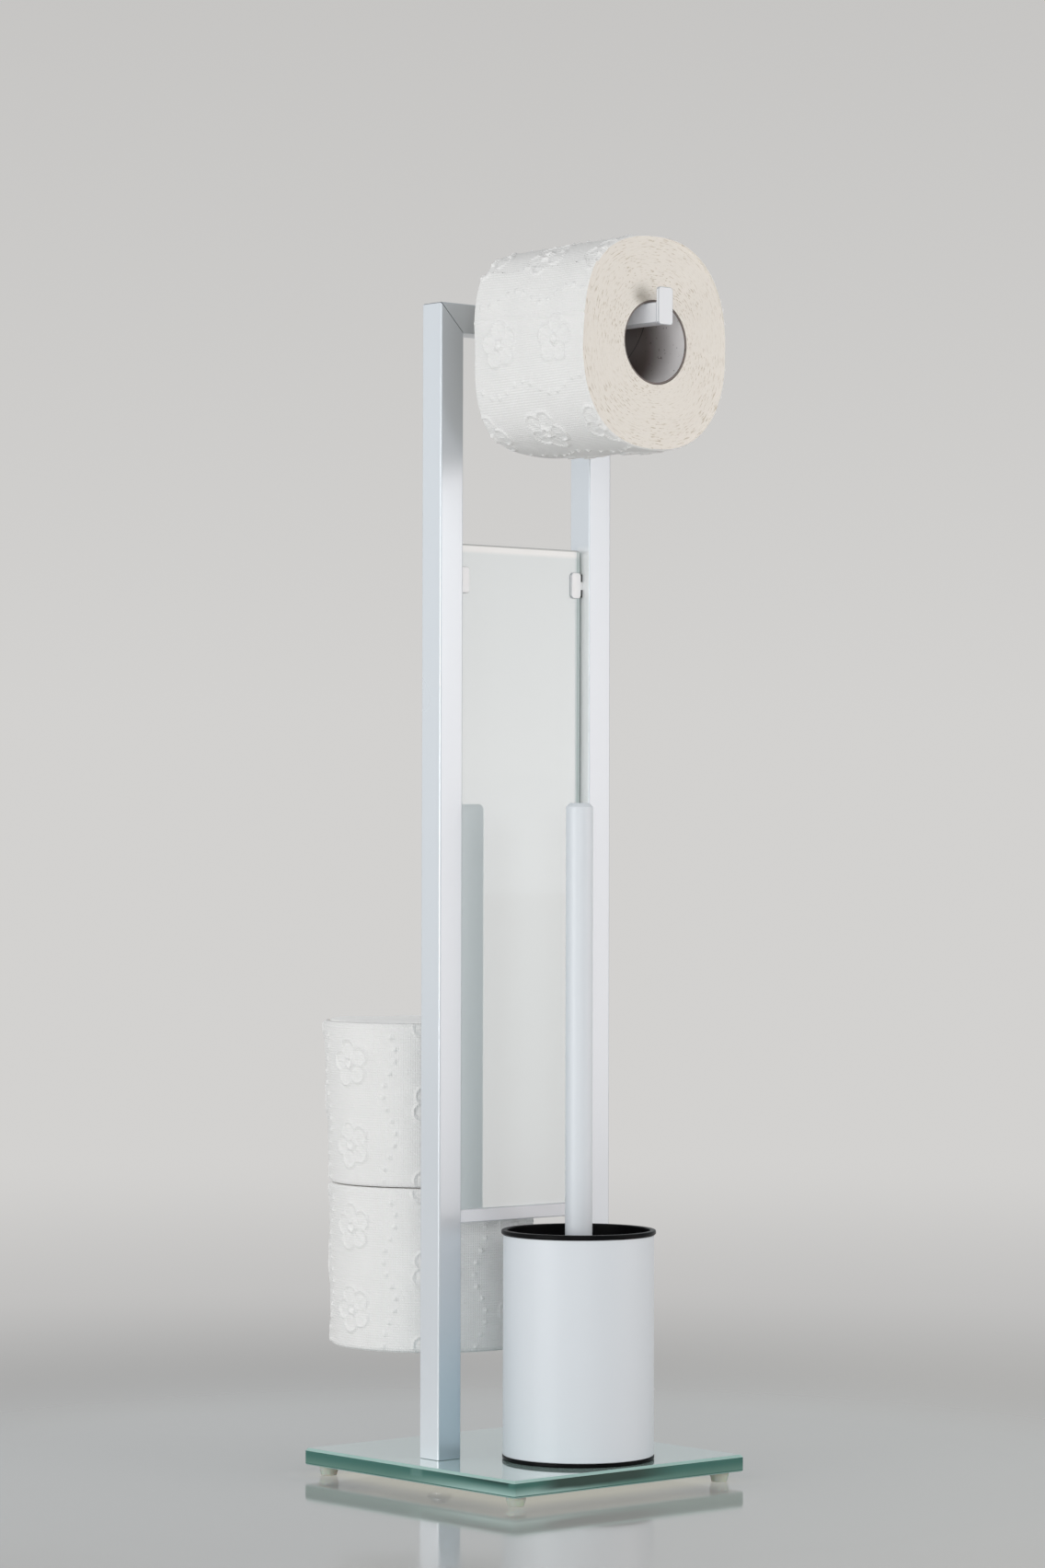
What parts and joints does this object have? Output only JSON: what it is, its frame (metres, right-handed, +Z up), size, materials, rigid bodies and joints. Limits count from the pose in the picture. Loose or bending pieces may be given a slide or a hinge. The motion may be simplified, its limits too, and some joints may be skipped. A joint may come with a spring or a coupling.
{
  "type": "toilet roll stand",
  "caption": "Free-standing white toilet roll stand with a glass base and back panel, an arm for the roll in use, spare rolls behind and a brush in a cup.",
  "frame": {"origin": "on the floor, under the middle of the whole stand's box", "axes": "+Z up, +X along the top crossbar, -Y towards the roll arm and the brush cup"},
  "size_m": [0.182, 0.273, 0.7364],
  "materials": {
    "white_coat": "white powder coat, satin gloss",
    "base_glass": "float glass with polished green edges and a milky underside",
    "panel_glass": "milky glass with a polished front",
    "clear_vinyl": "cloudy clear bumper",
    "steel": "zinc-plated steel",
    "nylon": "white moulded nylon",
    "soft_liner": "dark soft liner",
    "tissue": "soft embossed tissue",
    "cardboard": "grey spiral-wound board",
    "black_plastic": "black moulded plastic",
    "bristle": "white nylon bristles"
  },
  "bodies": {
    "stand": {"left_upright": "white_coat", "right_upright": "white_coat", "top_crossbar": "white_coat", "lower_crossbar": "white_coat", "left_clip": "white_coat", "right_clip": "white_coat", "roll_arm": "white_coat", "arm_end_plate": "white_coat", "spare_post": "white_coat", "spare_tray": "white_coat", "base_plate": "base_glass", "glass_panel": "panel_glass", "foot_front_left": "clear_vinyl", "foot_front_right": "clear_vinyl", "foot_rear_left": "clear_vinyl", "foot_rear_right": "clear_vinyl", "base_bolts": "steel", "arm_bolt": "steel", "clip_studs": "steel", "tray_grub_screw": "steel", "left_foot_plug": "steel", "right_foot_plug": "steel", "arm_insert": "steel", "base_washers": "nylon", "left_corner_insert": "nylon", "right_corner_insert": "nylon", "spare_post_cap": "nylon", "clip_pads": "soft_liner", "panel_seat_strip": "soft_liner"},
    "hung_roll": {"hung_roll_core": "cardboard", "hung_roll_paper": "tissue"},
    "lower_spare": {"lower_spare_core": "cardboard", "lower_spare_paper": "tissue"},
    "upper_spare": {"upper_spare_core": "cardboard", "upper_spare_paper": "tissue"},
    "cup": {"cup_shell": "white_coat", "cup_liner": "black_plastic", "cup_base_ring": "black_plastic"},
    "brush": {"handle_tube": "white_coat", "handle_cap": "white_coat", "handle_socket": "steel", "brush_stud": "steel", "brush_head": "black_plastic", "brush_bristles": "bristle"}
  },
  "joints": [
    {"name": "hung_roll_spin", "type": "hinge", "parent": "stand", "child": "hung_roll", "pos_m": [0, -0.07905, 0.67343], "axis": [0, 1, 0], "continuous": true},
    {"name": "cup_lift", "type": "slide", "parent": "stand", "child": "cup", "axis": [0, 0, 1], "range_m": [0, 0.03]},
    {"name": "brush_lift", "type": "slide", "parent": "cup", "child": "brush", "axis": [0, 0, 1], "range_m": [0, 0.15]},
    {"name": "lower_spare_lift", "type": "slide", "parent": "stand", "child": "lower_spare", "axis": [0, 0, 1], "range_m": [0, 0.19]},
    {"name": "upper_spare_lift", "type": "slide", "parent": "lower_spare", "child": "upper_spare", "axis": [0, 0, 1], "range_m": [0, 0.1]}
  ]
}
